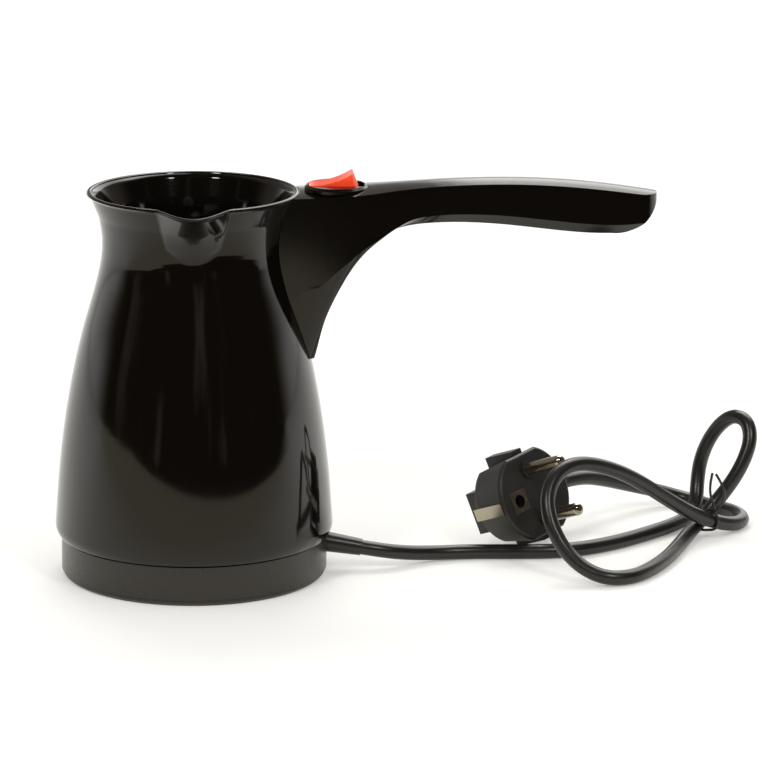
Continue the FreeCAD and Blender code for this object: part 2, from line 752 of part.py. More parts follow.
def make_handle_shell():
    outer = handle_form(0)
    cavity = handle_form(handle_wall, 2.0).cut(jug_solid(root_wall + seam_gap, 10))
    shape = outer.cut(cavity).cut(jug_solid(seam_gap, 10)).cut(lower_zone(0))
    for height in handle_screw_heights:
        shape = shape.cut(rod(screw_shank + screw_clearance, at(25, 0, height), at(48, 0, height)))
    window = block(at(30, -duct_window_width / 2, duct_bore_top - duct_window_height - 1),
                   at(44, duct_window_width / 2, duct_bore_top - 1))
    shape = shape.cut(window).cut(rod(switch_body_radius + 0.3, at(switch_x, 0, 125), at(switch_x, 0, 160)))
    return max(shape.Solids, key=lambda s: s.Volume)


def make_lower_cover():
    shape = handle_form(0).common(lower_zone(seam_gap)).cut(jug_solid(seam_gap, 10))
    return max(shape.Solids, key=lambda s: s.Volume)


def cover_section(x, half, z):
    low = z - cover_edge
    left, right = at(x, -half, z), at(x, half, z)
    arch = Part.Arc(right, at(x, 0, z + cover_crown), left).toShape()
    return Part.Wire([arch] + lines([left, at(x, -half, low), at(x, half, low), right]))


def make_top_cover():
    stations = [(30.0, handle_top[0][1] - 0.2)] + handle_top[:-1]
    stations.append((handle_end + 1.0, handle_top[-1][1] - 0.2))
    wires = []
    for x, z in stations:
        half = value_at(handle_half_widths, x) + 0.4
        wires.append(cover_section(x, half, z))
    shape = Part.makeLoft(wires, True, False).common(handle_plan(0)).cut(jug_solid(seam_gap, 10))
    shape = shape.cut(rod(switch_body_radius + switch_body_gap, at(switch_x, 0, 130), at(switch_x, 0, 160)))
    shape = shape.cut(rod(bezel_radius + 0.2, at(switch_x, 0, switch_seat), at(switch_x, 0, 160)))
    return max(shape.Solids, key=lambda s: s.Volume)


def make_handle_screws():
    items = []
    head = screw_head - 0.1
    for height in handle_screw_heights:
        widest = max(jug_radius(height + rise) for rise in (-head, 0, head))
        seat = widest + seam_gap + root_wall + 0.05
        items.append(screw(at(seat + screw_head_height, 0, height), at(29.5, 0, height), head))
    return Part.Compound(items)


def make_duct_grommet():
    # fills the window between duct and handle round the three switch leads
    half = duct_window_width / 2 - seat_gap
    low = at(grommet_start, -half, duct_bore_top - duct_window_height - 1 + seat_gap)
    high = at(grommet_end, half, duct_bore_top - 1 - seat_gap)
    shape = block(low, high)
    for side in (-1, 0, 1):
        hole = rod(wire_radius + seat_gap, at(grommet_start - 1, side * lead_spacing, window_middle),
                   at(grommet_end + 1, side * lead_spacing, window_middle))
        shape = shape.cut(hole)
    return shape


def jug_radius(z):
    line = Part.makeLine(at(0, 0, z), at(70, 0, z))
    return jug_solid(0).common(line).Length


# switch

pivot_height = switch_seat + bezel_height - rocker_pivot_drop
pivot = at(switch_x, 0, pivot_height)
contact_pivot_height = pivot_height - plunger_reach - contact_thickness / 2 - 0.45
contact_pivot = at(switch_x, 0, contact_pivot_height)
contact_seat = contact_pivot_height - contact_pin_radius - 0.15
housing_low = switch_seat + 0.05 - switch_body_depth
well_floor = housing_low + switch_wall


def tilted(shape, centre, degrees):
    turned = shape.copy()
    turned.rotate(centre, at(0, 1, 0), degrees)
    return turned


def rocker_level(grow):
    # the rocker seen from the side, before it is tipped: two raised ends and a dished top
    half = rocker_length / 2
    end = at(switch_x + half + grow, 0, pivot_height + rocker_rise + grow)
    start = at(switch_x - half - grow, 0, pivot_height + rocker_rise + grow)
    dish = Part.Arc(start, at(switch_x, 0, pivot_height + rocker_rise - rocker_dish + grow), end).toShape()
    belly = at(switch_x, 0, pivot_height - 3.4 - grow)
    right = at(switch_x + half + 0.5 + grow, 0, pivot_height + 1.4)
    left = at(switch_x - half - 0.5 - grow, 0, pivot_height + 1.4)
    bottom = Part.Arc(right, belly, left).toShape()
    face = Part.Face(Part.Wire([dish] + lines([end, right]) + [bottom] + lines([left, start])))
    width = rocker_width + 2 * grow
    slab = face.extrude(at(0, width, 0)).translated(at(0, -width / 2, 0))
    return slab.common(rod(rocker_end_radius + grow, pivot - up * 10, pivot + up * 12))


def make_rocker():
    body = rocker_level(0)
    body = body.cut(rod(plunger_radius + 0.08, pivot - up * 10, pivot - up * 1.2))
    for side in (-1, 1):
        y = side * rocker_width / 2
        body = body.fuse(rod(rocker_pin_radius, at(switch_x, y, pivot_height),
                             at(switch_x, y + side * 1.6, pivot_height)))
    return tilted(body.removeSplitter(), pivot, -rocker_rest_angle)


def make_plunger():
    tip = pivot - up * (plunger_reach - plunger_radius)
    body = rod(plunger_radius, tip, pivot - up * 3.0).fuse(Part.makeSphere(plunger_radius, tip))
    return tilted(body.removeSplitter(), pivot, -rocker_rest_angle)


def make_plunger_spring():
    body = rod(plunger_radius - 0.1, pivot - up * 2.95, pivot - up * 1.25)
    body = body.cut(rod(plunger_radius - 0.6, pivot - up * 4, pivot))
    return tilted(body, pivot, -rocker_rest_angle)


def make_contact():
    # a strip that rocks on a round bar, with a rivet under each end
    half = contact_length / 2
    under = contact_pivot_height - contact_thickness / 2
    low = at(switch_x - half, -contact_width / 2, under)
    strip = block(low, low + at(contact_length, contact_width, contact_thickness))
    bar = at(0, contact_width / 2 + 0.2, 0)
    strip = strip.fuse(rod(contact_pin_radius, contact_pivot - bar, contact_pivot + bar))
    for side in (-1, 1):
        centre = at(switch_x + side * (half - 1.2), 0, under)
        strip = strip.fuse(rod(1.2, centre - up * 0.4, centre + up * 0.2))
    return tilted(strip.removeSplitter(), contact_pivot, contact_rest_angle)


def make_switch_housing():
    seat = switch_seat + 0.05
    body = rod(switch_body_radius, at(switch_x, 0, housing_low), at(switch_x, 0, seat + 0.5))
    flange = rod(bezel_radius, at(switch_x, 0, seat), at(switch_x, 0, seat + bezel_height))
    flange = flange.makeChamfer(0.9, [e for e in flange.Edges if e.BoundBox.ZMin > seat + 1 and e.Length > 60])
    shape = body.fuse(flange)
    sweep = [tilted(rocker_level(rocker_gap), pivot, a) for a in (-rocker_rest_angle, 0, rocker_rest_angle)]
    shape = shape.cut(sweep[0].multiFuse(sweep[1:]))
    half_well = at(well_half_length, rocker_width / 2 - 0.2, 0)
    shape = shape.cut(block(at(switch_x, 0, well_floor) - half_well,
                            at(switch_x, 0, pivot_height + 1) + half_well))
    for side in (-1, 1):
        pin_end = at(switch_x, side * (rocker_width / 2 + 1.75), pivot_height)
        shape = shape.cut(rod(rocker_pin_radius + rocker_pin_gap, pivot, pin_end))
    for i in (-1, 0, 1):
        shape = shape.cut(blade_leg(i, 0.05))
    return shape.removeSplitter()


def blade_leg(i, gap):
    x = switch_x + i * blade_spacing
    half = at(blade_thickness / 2 + gap, blade_width / 2 + gap, 0)
    top = well_floor if i == 0 else well_floor + 0.05 + fixed_contact_thickness
    return block(at(x, 0, housing_low - blade_length) - half, at(x, 0, top + gap) + half)


def make_switch_blades():
    # the middle one carries the see-saw contact, the outer ones each end in a fixed contact
    items = []
    for i in (-1, 0, 1):
        x = switch_x + i * blade_spacing
        if i == 0:
            near, far = x - blade_thickness / 2, x + blade_thickness / 2
            low, high = well_floor - 1, contact_seat
        else:
            near, far = sorted((switch_x + i * fixed_contact_reach, x + i * blade_thickness / 2))
            low, high = well_floor + 0.05, well_floor + 0.05 + fixed_contact_thickness
        foot = block(at(near, -blade_foot_half, low), at(far, blade_foot_half, high))
        hole_z = housing_low - blade_length + 2.5
        hole = rod(0.9, at(x - 3, 0, hole_z), at(x + 3, 0, hole_z))
        items.append(blade_leg(i, 0).fuse(foot).removeSplitter().cut(hole))
    return Part.Compound(items)


def make_neon_lamp():
    centre = at(switch_x, lamp_side, well_floor + 0.05 + lamp_radius)
    half = at(lamp_length / 2, 0, 0)
    return rod(lamp_radius, centre - half, centre + half)


# leads and cord

def tube(name, points, radius, report=False):
    # straight runs joined by tangent arcs, each arc as large as its two runs allow
    corners = []
    for i in range(1, len(points) - 1):
        into = points[i] - points[i - 1]
        out = points[i + 1] - points[i]
        turn = into.getAngle(out)
        reach = 0.45 * min(into.Length, out.Length)
        first = points[i] - into.normalize() * reach
        last = points[i] + out.normalize() * reach
        bend = reach / math.tan(turn / 2)
        bisector = (out - into).normalize()
        centre = points[i] + bisector * (bend / math.cos(turn / 2))
        middle = centre - bisector * bend
        corners.append((first, middle, last, bend))
    edges = []
    here = points[0]
    for first, middle, last, bend in corners:
        edges.append(Part.LineSegment(here, first).toShape())
        edges.append(Part.Arc(first, middle, last).toShape())
        here = last
    edges.append(Part.LineSegment(here, points[-1]).toShape())
    path = Part.Wire(edges)
    start = (points[1] - points[0]).normalize()
    profile = Part.Wire([Part.makeCircle(radius, points[0], start)])
    solid = path.makePipeShell([profile], True, False)
    if report:
        bends = [round(c[3], 1) for c in corners]
        print(name, "length", round(path.Length, 1), "tightest", min(bends), "radii", bends)
        print(name, "volume over section times length", round(solid.Volume / (math.pi * radius ** 2 * path.Length), 4))
    return solid


def make_cord_tail():
    return rod(cord_radius, tail_end, tail_start)


def make_supply_cores():
    earth, live, _, neutral = way_xs()
    end_y = way_front - way_entry
    routes = {core_spacing: [(13, -9.5, 13), (4.5, -16.5, 10.5), (earth, -20.5, 8.4), (earth, end_y, way_z)],
              0: [(14, -13, 10.8), (9, -19, 8.6), (live, end_y, way_z)],
              -core_spacing: [(23.5, -14, 9.5), (neutral, -20, 8.3), (neutral, end_y, way_z)]}
    items = []
    for side, route in routes.items():
        start = tail_end - exit_direction * 0.05 + at(0, side, 0)
        points = [start, start - exit_direction * (3.0 + side * 0.35)] + [Vector(*p) for p in route]
        items.append(tube("core", points, core_radius))
    return Part.Compound(items)


def duct_middle(z):
    return jug_radius(z) - jug_wall - (duct_depth - duct_wall) / 2


def make_switch_leads():
    # from the ways of the terminal block, up the duct in the jug's wall and through to the switch
    _, live, switched, neutral = way_xs()
    start_y = way_back + way_entry
    shared = way_z + wire_radius + 0.03
    low_ends = {1: [(live, start_y, way_z), (live, -37.6, way_z), (9.4, -38, 13.2), (13.5, -33.5, 16.9),
                    (28, -19.5, 17.4)],
                0: [(switched, start_y, way_z), (switched, -37.4, way_z), (18.4, -37.6, 13.2),
                    (21, -32.4, 16.9), (29.2, -20.7, 17.4)],
                -1: [(neutral, start_y, shared), (neutral, -36.9, shared), (23.2, -37.1, 13.9),
                     (26.2, -31.6, 16.9), (30.4, -21.9, 17.4)]}
    side_y = blade_width / 2 + 0.05
    left, middle, right = [switch_x + i * blade_spacing for i in (-1, 0, 1)]
    high_ends = {-1: [(left - 0.3, -0.5 * lead_spacing, 113), (left, 0, 117.5), (left, 0, lead_top)],
                 0: [(48.5, 0, 112.5), (middle, 0, 117.5), (middle, 0, lead_top)],
                 1: [(48, 3.4, 111.5), (54, 6.2, 119.3), (right, 5.4, 124.2), (right, side_y, 124.2)]}
    items = []
    for i in (-1, 0, 1):
        y = i * lead_spacing
        points = low_ends[i] + [(39.4 - 1.35 * i, -10.6 + 1.35 * i, 17.4)]
        points += [(41.8, -3.2 + 1.9 * i, 19.2 - 1.9 * i), (44.4, y, 24)]
        points += [(duct_middle(z), y, z) for z in (31, 40, 56, 72, 84)]
        points += [(34.9, y, 92), (35.0, y, window_middle), (44.6, y, window_middle), (45.6, y, 105.5)]
        items.append(tube("switch lead", [Vector(*p) for p in points + high_ends[i]], wire_radius))
    return Part.Compound(items)


lead_top = housing_low - blade_length - 0.1


def make_heater_leads():
    # switch to cut-out, cut-out to fuse, fuse to heater, heater back to the supply
    _, _, switched, neutral = way_xs()
    blade_x = 4.4 + 0.4 + 0.05
    fuse_z = spreader_low - fuse_sleeve_radius - 0.05
    fuse_end = fuse_pin_reach + 0.05
    pin_z = element_height - cold_end_drop - cold_pin_length - 0.05
    near_pin = polar(element_circle, 180 + element_open_angle / 2, pin_z)
    far_pin = polar(element_circle, 180 - element_open_angle / 2, pin_z)
    shared = way_z - wire_radius - 0.03
    routes = [[(switched, way_front - way_entry, way_z), (switched, -19.5, 8), (15.5, -8, 8.2), (9.2, 0, 9.4),
               (blade_x, 0, 9.4)],
              [(-blade_x, 0, 9.4), (-8.6, 0, 9.4), (-9.4, 7.5, 11.5), (-3.5, 15.8, 15), (6, 18.2, 18.6),
               (12.6, 17.4, 21.6), (fuse_offset, 15.2, fuse_z), (fuse_offset, fuse_end, fuse_z)],
              [(fuse_offset, -fuse_end, fuse_z), (fuse_offset, -15.2, fuse_z), (9, -19, 19.5), (-4, -20.5, 14.5),
               (-16, -17.6, 4.2), (near_pin.x, near_pin.y, 4.4), near_pin],
              [(neutral, way_back + way_entry, shared), (neutral, -37.4, shared), (18.5, -39.2, 4.6), (6, -39.8, 3.8),
               (-8, -36, 3.4), (-20, -26, 3.3), (-27, -8, 3.2), (-26, 8, 3.2), (far_pin.x, far_pin.y, 3.6), far_pin]]
    return Part.Compound([tube("heater lead", [Vector(*p) for p in route], wire_radius) for route in routes])


def make_earth_lead():
    # a ring tag under one screw of the clamp ring, and the lead that ends below its tail
    earth = way_xs()[0]
    high = clamp_ring_low - 0.05
    centre = polar(clamp_ear_circle, earth_tag_angle, high - tag_thickness)
    tag = rod(tag_radius, centre, centre + up * tag_thickness)
    tag = tag.fuse(block(centre - at(0, 1.2, 0), centre + at(tag_reach, 1.2, tag_thickness)))
    tag = tag.cut(rod(screw_shank + screw_clearance, centre - up, centre + up * 2)).removeSplitter()
    end = centre + at(tag_reach - 2.2, 0, -0.05)
    route = [(earth, way_back + way_entry, way_z), (earth, -38.6, way_z), (-3, -40, 8.6), (-16, -38.5, 11),
             (-24, -33.5, 16), (end.x, end.y, 19), end]
    return Part.Compound([tube("earth lead", [Vector(*p) for p in route], wire_radius), tag])


def closest_points(a, b, c, d):
    # where the straight line through a and b and the one through c and d pass closest
    first = (b - a).normalize()
    second = (d - c).normalize()
    apart = a - c
    turn = first.dot(second)
    scale = 1 - turn ** 2
    along_first = (turn * second.dot(apart) - first.dot(apart)) / scale
    along_second = (second.dot(apart) - turn * first.dot(apart)) / scale
    return a + first * along_first, c + second * along_second, first, second


def make_cord_tie():
    # one wire bent round both strands where they cross, its two ends standing up
    ends = [Vector(*cord_run[i]) for i in tie_runs]
    near, far, first, second = closest_points(*ends)
    across = (far - near).normalize()
    normal = (second - first).normalize()
    rise = across.cross(normal).normalize()
    rise = rise if rise.z > 0 else -rise
    centre = (near + far) / 2
    half = (far - near).Length / 2 + cord_radius + tie_wire + 0.2
    corner = tie_corner
    high = tie_half_height
    slant = corner * math.sqrt(0.5)

    def spot(along, up_by):
        return centre + across * along + rise * up_by

    edges = []
    for side in (1, -1):
        edges += lines([spot(-side * (half - corner), -side * high), spot(side * (half - corner), -side * high)])
        edges.append(Part.Arc(spot(side * (half - corner), -side * high),
                              spot(side * (half - corner + slant), -side * (high - corner + slant)),
                              spot(side * half, -side * (high - corner))).toShape())
        edges += lines([spot(side * half, -side * (high - corner)), spot(side * half, side * (high - corner))])
        edges.append(Part.Arc(spot(side * half, side * (high - corner)),
                              spot(side * (half - corner + slant), side * (high - corner + slant)),
                              spot(side * (half - corner), side * high)).toShape())
    path = Part.Wire(Part.__sortEdges__(edges))
    start = path.OrderedVertexes[0].Point
    tangent = (path.OrderedVertexes[1].Point - start).normalize()
    loop = path.makePipeShell([Part.Wire([Part.makeCircle(tie_wire, start, tangent)])], True, False)
    foot = spot(0, high)
    pieces = [loop]
    for lean in tie_leans:
        points = [foot, foot + Vector(*lean) * 0.3 + up * (tie_tails * 0.35), foot + Vector(*lean) + up * tie_tails]
        pieces.append(tube("tie end", points, tie_wire))
    return joined(pieces)


# plug, built on its own axes: Z out along the pins, X towards the lead, Y along the line of pins

def plug_flats():
    # the room between the two flats, which close in towards the back
    depth = plug_depth + 1.0
    slope = (plug_flat - plug_rear_flat) / plug_depth
    rear = plug_flat - slope * depth
    face = polygon_face([at(-30, -rear, -depth), at(-30, rear, -depth), at(-30, plug_flat, 0), at(-30, -plug_flat, 0)])
    return face.extrude(at(60, 0, 0))


def plug_neck():
    root = at(plug_neck_start, 0, -plug_neck_depth)
    sag = math.radians(plug_neck_sag)
    line = at(math.cos(sag), -math.sin(sag), 0)
    return root, line


def plug_body_local():
    front = Part.makeCone(plug_rear_radius, plug_radius, plug_depth, at(0, 0, -plug_depth), up)
    front = front.common(plug_flats())
    ends = [e for e in front.Edges if abs(e.BoundBox.ZMax - e.BoundBox.ZMin) < 0.01]
    front = front.makeFillet(plug_edge_round, ends)
    half = grip_width / 2
    grip = block(at(-grip_reach, -half, -grip_depth), at(grip_tail, half, -plug_depth + 3))
    grip = grip.makeChamfer(1.0, [e for e in grip.Edges if e.BoundBox.ZMax < -grip_depth + 0.01])
    root, line = plug_neck()
    neck = Part.makeCone(plug_neck_radius, plug_neck_tip, plug_neck_length, root, line)
    pieces = [front, grip, neck]
    for side in (-1, 1):
        low, high = sorted((side * (plug_rear_flat - 1), side * (plug_flat + rib_proud)))
        rib = block(at(-rib_width / 2, low, -plug_depth + 0.5), at(rib_width / 2, high, -2.0))
        pieces.append(rib)
        root = at(0, side * pin_spacing / 2, -1)
        pieces.append(rod(pin_collar_radius, root, root + up * (1 + pin_collar_height)))
    shape = joined(pieces)
    cuts = [rod(earth_hole_radius, at(-earth_hole_offset, 0, -earth_hole_depth), at(-earth_hole_offset, 0, 5))]
    for side in (-1, 1):
        cuts.append(rod(pin_radius + pin_fit, at(0, side * pin_spacing / 2, -pin_root - 0.1),
                        at(0, side * pin_spacing / 2, 5)))
        cuts.append(earth_strip_box(side, 0.05))
    cuts.append(earth_plate_box(0.05))
    return shape.cut(cuts[0].multiFuse(cuts[1:])).removeSplitter()


def earth_strip_box(side, gap):
    far = plug_radius + earth_strip_proud + gap
    near = plug_radius + earth_strip_proud - earth_strip_thickness - gap
    low_x, high_x = sorted((side * near, side * far))
    half = earth_strip_width / 2 + gap
    return block(at(low_x, -half, -earth_strip_length - gap), at(high_x, half, -1.0 + gap))


def earth_plate_box(gap):
    half = earth_plate_size / 2 + gap
    return block(at(-earth_hole_offset - half, -half, -0.9 - gap), at(-earth_hole_offset + half, half, 0.2))


def earth_clips_local():
    plate = earth_plate_box(0).cut(rod(earth_hole_radius, at(-earth_hole_offset, 0, -5), at(-earth_hole_offset, 0, 5)))
    return Part.Compound([earth_strip_box(-1, 0), earth_strip_box(1, 0), plate])


def plug_pins_local():
    items = []
    for side in (-1, 1):
        pin = rod(pin_radius, at(0, side * pin_spacing / 2, -pin_root), at(0, side * pin_spacing / 2, pin_length))
        tip = [e for e in pin.Edges if e.BoundBox.ZMin > pin_length - 1 and e.Length > 10]
        items.append(pin.makeFillet(pin_tip_round, tip))
    return Part.Compound(items)


def plug_placement():
    # the plug lies on the table on the lower edge of its back
    z_axis = Vector(plug_forward).normalize()
    y_axis = Vector(plug_pin_line).normalize()
    x_axis = y_axis.cross(z_axis).normalize()
    turn = FreeCAD.Rotation(x_axis, y_axis, z_axis, "ZXY")
    trial = plug_body_local()
    trial.Placement = FreeCAD.Placement(at(plug_face[0], plug_face[1], 0), turn)
    low = trial.optimalBoundingBox(True, False).ZMin
    return FreeCAD.Placement(at(plug_face[0], plug_face[1], seat_gap / 5 - low), turn)


def main():
    os.makedirs("parts", exist_ok=True)
    save("jug_shell", make_jug())
    save("base_cap", make_base())
    save("base_screws", make_base_screws())
    save("heating_plate", make_plate())
    save("plate_seal", make_seal())
    save("clamp_ring", make_clamp_ring())
    save("clamp_ring_screws", make_clamp_screws())
    save("heat_spreader", make_spreader())
    save("heating_element", make_element())
    save("thermostat", make_thermostat())
    save("thermostat_screws", make_thermostat_screws())
    save("thermal_fuse", make_fuse())
    save("fuse_sleeve", make_fuse_sleeve())
    save("fuse_strap", make_fuse_strap())
    save("terminal_block", make_terminal_block())
    save("terminal_screws", make_terminal_screws())
    save("cord_clamp", make_cord_clamp())
    save("cord_clamp_screws", make_cord_clamp_screws())
    save("cord_bush", make_cord_bush())
    save("cord_tail", make_cord_tail())
    save("cord_tie", make_cord_tie())
    save("supply_cores", make_supply_cores())
    save("switch_leads", make_switch_leads())
    save("heater_leads", make_heater_leads())
    save("earth_lead", make_earth_lead())
    save("handle_shell", make_handle_shell())
    save("handle_top_cover", make_top_cover())
    save("handle_lower_cover", make_lower_cover())
    save("handle_screws", make_handle_screws())
    save("duct_grommet", make_duct_grommet())
    save("switch_housing", make_switch_housing())
    save("switch_blades", make_switch_blades())
    save("neon_lamp", make_neon_lamp())
    save("switch_rocker", make_rocker())
    save("switch_plunger", make_plunger())
    save("plunger_spring", make_plunger_spring())
    save("switch_contact", make_contact())
    place = plug_placement()
    for name, shape in (("plug_body", plug_body_local()), ("plug_pins", plug_pins_local()),
                        ("plug_earth_clips", earth_clips_local())):
        shape.Placement = place
        save(name, shape)
    root, line = plug_neck()
    neck_end = place.multVec(root + line * plug_neck_length)
    neck_line = place.Rotation.multVec(line)
    print("plug neck end", neck_end, "direction", neck_line, "face", place.Base)
    start = [tail_start, tail_start + exit_direction * first_run]
    route = start + [Vector(*p) for p in cord_run] + [neck_end + neck_line * last_run, neck_end]
    save("supply_cord", tube("supply_cord", route, cord_radius, True))


main()
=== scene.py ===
import json
import math
import bpy
from mathutils import Matrix, Vector


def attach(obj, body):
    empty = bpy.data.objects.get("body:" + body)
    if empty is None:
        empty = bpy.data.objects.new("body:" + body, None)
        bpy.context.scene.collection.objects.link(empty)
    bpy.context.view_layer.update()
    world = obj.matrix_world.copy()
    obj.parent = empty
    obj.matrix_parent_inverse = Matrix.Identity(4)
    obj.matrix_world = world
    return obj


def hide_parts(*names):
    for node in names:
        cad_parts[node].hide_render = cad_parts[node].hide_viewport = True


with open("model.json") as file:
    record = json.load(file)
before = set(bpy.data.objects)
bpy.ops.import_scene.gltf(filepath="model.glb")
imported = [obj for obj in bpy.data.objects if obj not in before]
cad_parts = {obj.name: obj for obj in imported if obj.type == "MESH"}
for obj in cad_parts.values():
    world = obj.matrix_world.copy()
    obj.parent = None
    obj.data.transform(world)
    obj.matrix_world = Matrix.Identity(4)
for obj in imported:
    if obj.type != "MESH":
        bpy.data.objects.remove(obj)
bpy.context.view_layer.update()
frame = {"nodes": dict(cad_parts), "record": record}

nodes = frame["nodes"]
print("frame loaded:", len(nodes), "nodes")

bpy.ops.object.select_all(action="DESELECT")
scene = bpy.context.scene
scene.view_settings.view_transform = "Standard"

# the photograph's camera: place in metres, angles in radians, lens and sensor in millimetres
camera = {
    "place": (0.0, -1.5, 0.43563),
    "pan": 0.04623,
    "tilt": 0.23888,
    "roll": 0.00702,
    "lens": 198.4,
    "sensor": 36.0,
    "farthest": 30.0,
}


def makeCamera():
    data = bpy.data.cameras.new("photoCamera")
    data.lens = camera["lens"]
    data.sensor_width = camera["sensor"]
    data.clip_end = camera["farthest"]
    eye = bpy.data.objects.new("photoCamera", data)
    scene.collection.objects.link(eye)
    turn = Matrix.Rotation(-camera["pan"], 3, "Z")
    turn = turn @ Matrix.Rotation(math.pi / 2 - camera["tilt"], 3, "X")
    turn = turn @ Matrix.Rotation(camera["roll"], 3, "Z")
    eye.rotation_euler = turn.to_euler()
    eye.location = camera["place"]
    scene.camera = eye


makeCamera()


def standFor(piece, node):
    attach(piece, "root")
    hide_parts(node)


def selectOnly(piece):
    bpy.ops.object.select_all(action="DESELECT")
    bpy.context.view_layer.objects.active = piece
    piece.select_set(True)


def tubeCurve(name, points, radius, smoothness, roundness):
    # a curve's box grows by its points' radius, so the tube's radius is given there
    curve = bpy.data.curves.new(name, "CURVE")
    curve.dimensions = "3D"
    curve.resolution_u = smoothness
    curve.bevel_depth = 1.0
    curve.bevel_resolution = roundness
    curve.use_fill_caps = True
    spline = curve.splines.new("NURBS")
    spline.points.add(len(points) - 1)
    for point, place in zip(spline.points, points):
        point.co = (*place, 1.0)
        point.radius = radius
    spline.order_u = 3
    spline.use_endpoint_u = True
    return curve


# the lead, in metres, from the sleeve to the plug's neck: its solid's points, with the crossing
# and the turn behind it up to 4 mm further left, where the photograph has them
lead = {
    "radius": 0.00275,
    "length": 0.5926,
    "smoothness": 10,
    "roundness": 6,
    "points": [
        (0.061402, 0.0, 0.008143), (0.070462, 0.0, 0.006545), (0.0795, 0.0046, 0.0045),
        (0.0895, 0.0094, 0.0031), (0.102, 0.012, 0.0028), (0.118, 0.0114, 0.0028),
        (0.137, 0.0116, 0.0028), (0.1545, 0.0202, 0.0028), (0.1705, 0.0346, 0.0028),
        (0.1834, 0.0484, 0.0028), (0.1902, 0.0572, 0.0038), (0.1928, 0.0626, 0.0084),
        (0.1934, 0.0664, 0.0152), (0.1946, 0.0684, 0.0228), (0.1974, 0.0678, 0.0308),
        (0.2014, 0.0648, 0.038), (0.206, 0.06, 0.0426), (0.2104, 0.0548, 0.0418),
        (0.2116, 0.0508, 0.0358), (0.2089, 0.0479, 0.028), (0.2042, 0.0464, 0.0198),
        (0.1983, 0.0464, 0.012), (0.1924, 0.0436, 0.0056), (0.187, 0.0354, 0.003),
        (0.1822, 0.0216, 0.0028), (0.1748, 0.0012, 0.0028), (0.1662, -0.015, 0.0028),
        (0.1586, -0.0236, 0.0028), (0.1496, -0.026, 0.0032), (0.1414, -0.0228, 0.006),
        (0.1346, -0.0186, 0.012), (0.13, -0.0146, 0.0206), (0.1286, -0.0096, 0.0294),
        (0.1322, -0.004, 0.0366), (0.1396, 0.0016, 0.0394), (0.1496, 0.0078, 0.037),
        (0.162, 0.0158, 0.0306), (0.1758, 0.0254, 0.0198), (0.1884, 0.0336, 0.0104),
        (0.1982, 0.0402, 0.0056), (0.2054, 0.046, 0.0032), (0.2098, 0.0534, 0.0028),
        (0.2096, 0.0616, 0.0028), (0.2058, 0.0688, 0.0028), (0.2, 0.0746, 0.0028),
        (0.1953, 0.0808, 0.0028), (0.1887, 0.085, 0.0036), (0.18, 0.0848, 0.0062),
        (0.1684, 0.0788, 0.0102), (0.1574, 0.0702, 0.0148), (0.1477, 0.061623, 0.018077),
        (0.14033, 0.054865, 0.018019),
    ],
}


def makeLead():
    curve = tubeCurve("mainsLead", lead["points"], lead["radius"], lead["smoothness"],
                      lead["roundness"])
    piece = bpy.data.objects.new("mainsLead", curve)
    scene.collection.objects.link(piece)
    standFor(piece, "supply_cord")
    return piece


# the tie is one wire, wound once round the crossing of the lead's loops, its bowed ends standing
# up; firstEnd and secondEnd are places across and above the top of the winding, in metres, and
# the shares say where along the lead the two strands are
tie = {
    "radius": 0.0005,
    "slack": 0.0002,
    "pitch": 0.0012,
    "turnStep": 30,
    "turnSteps": 11,
    "firstTurn": 30,
    "firstEnd": [(-0.0022, 0.0182), (-0.0031, 0.014), (-0.0027, 0.0085), (-0.0008, 0.0045)],
    "secondEnd": [(0.0014, 0.0045), (0.0026, 0.0085), (0.0024, 0.0125), (-0.0008, 0.0176)],
    "endsApart": 0.0006,
    "firstStrand": (0.3, 0.5),
    "secondStrand": (0.6, 0.8),
    "smoothness": 8,
    "roundness": 3,
    "mergeWithin": 0.00001,
}


def lineOf(piece):
    # the points down the middle of a lead
    bare = piece.data.copy()
    bare.bevel_depth = 0.0
    mesh = bpy.data.meshes.new_from_object(bpy.data.objects.new("bareLine", bare))
    line = [vertex.co.copy() for vertex in mesh.vertices]
    bpy.data.meshes.remove(mesh)
    bpy.data.curves.remove(bare)
    return line


def nearestCrossing(line):
    # how near the two strands come, and where along the line each of them does
    first, second = [range(round(len(line) * start), round(len(line) * end))
                     for start, end in (tie["firstStrand"], tie["secondStrand"])]
    return min(((line[i] - line[j]).length, i, j) for i in first for j in second)


def windTie(strand):
    # the wire's points: down one end, round both strands and up the other end
    line = lineOf(strand)
    gap, i, j = nearestCrossing(line)
    first = (line[i + 1] - line[i - 1]).normalized()
    second = (line[j + 1] - line[j - 1]).normalized()
    if first.dot(second) < 0:
        second = -second
    along = (first + second).normalized()
    stack = (line[j] - line[i]).normalized()
    if stack.z < 0:
        stack = -stack
    across = along.cross(stack).normalized()
    centre = (line[i] + line[j]) / 2
    high = lead["radius"] + tie["radius"] + tie["slack"]
    wide = lead["radius"] / first.dot(along) + tie["radius"] + tie["slack"]
    bulge = 1 / math.cos(math.radians(tie["turnStep"] / 2))
    ring = []
    for step in range(tie["turnSteps"]):
        angle = math.radians(tie["firstTurn"] + step * tie["turnStep"])
        rise = high * bulge * math.sin(angle) + math.copysign(gap / 2, math.sin(angle))
        drift = tie["pitch"] * (step / (tie["turnSteps"] - 1) - 0.5)
        ring.append(centre + stack * rise + across * wide * bulge * math.cos(angle) + along * drift)
    foot = centre + stack * (high + gap / 2)
    firstEnd = [foot + Vector((x, 0.0, z)) for x, z in tie["firstEnd"]]
    secondEnd = [foot + Vector((x, tie["endsApart"], z)) for x, z in tie["secondEnd"]]
    return firstEnd + ring + secondEnd


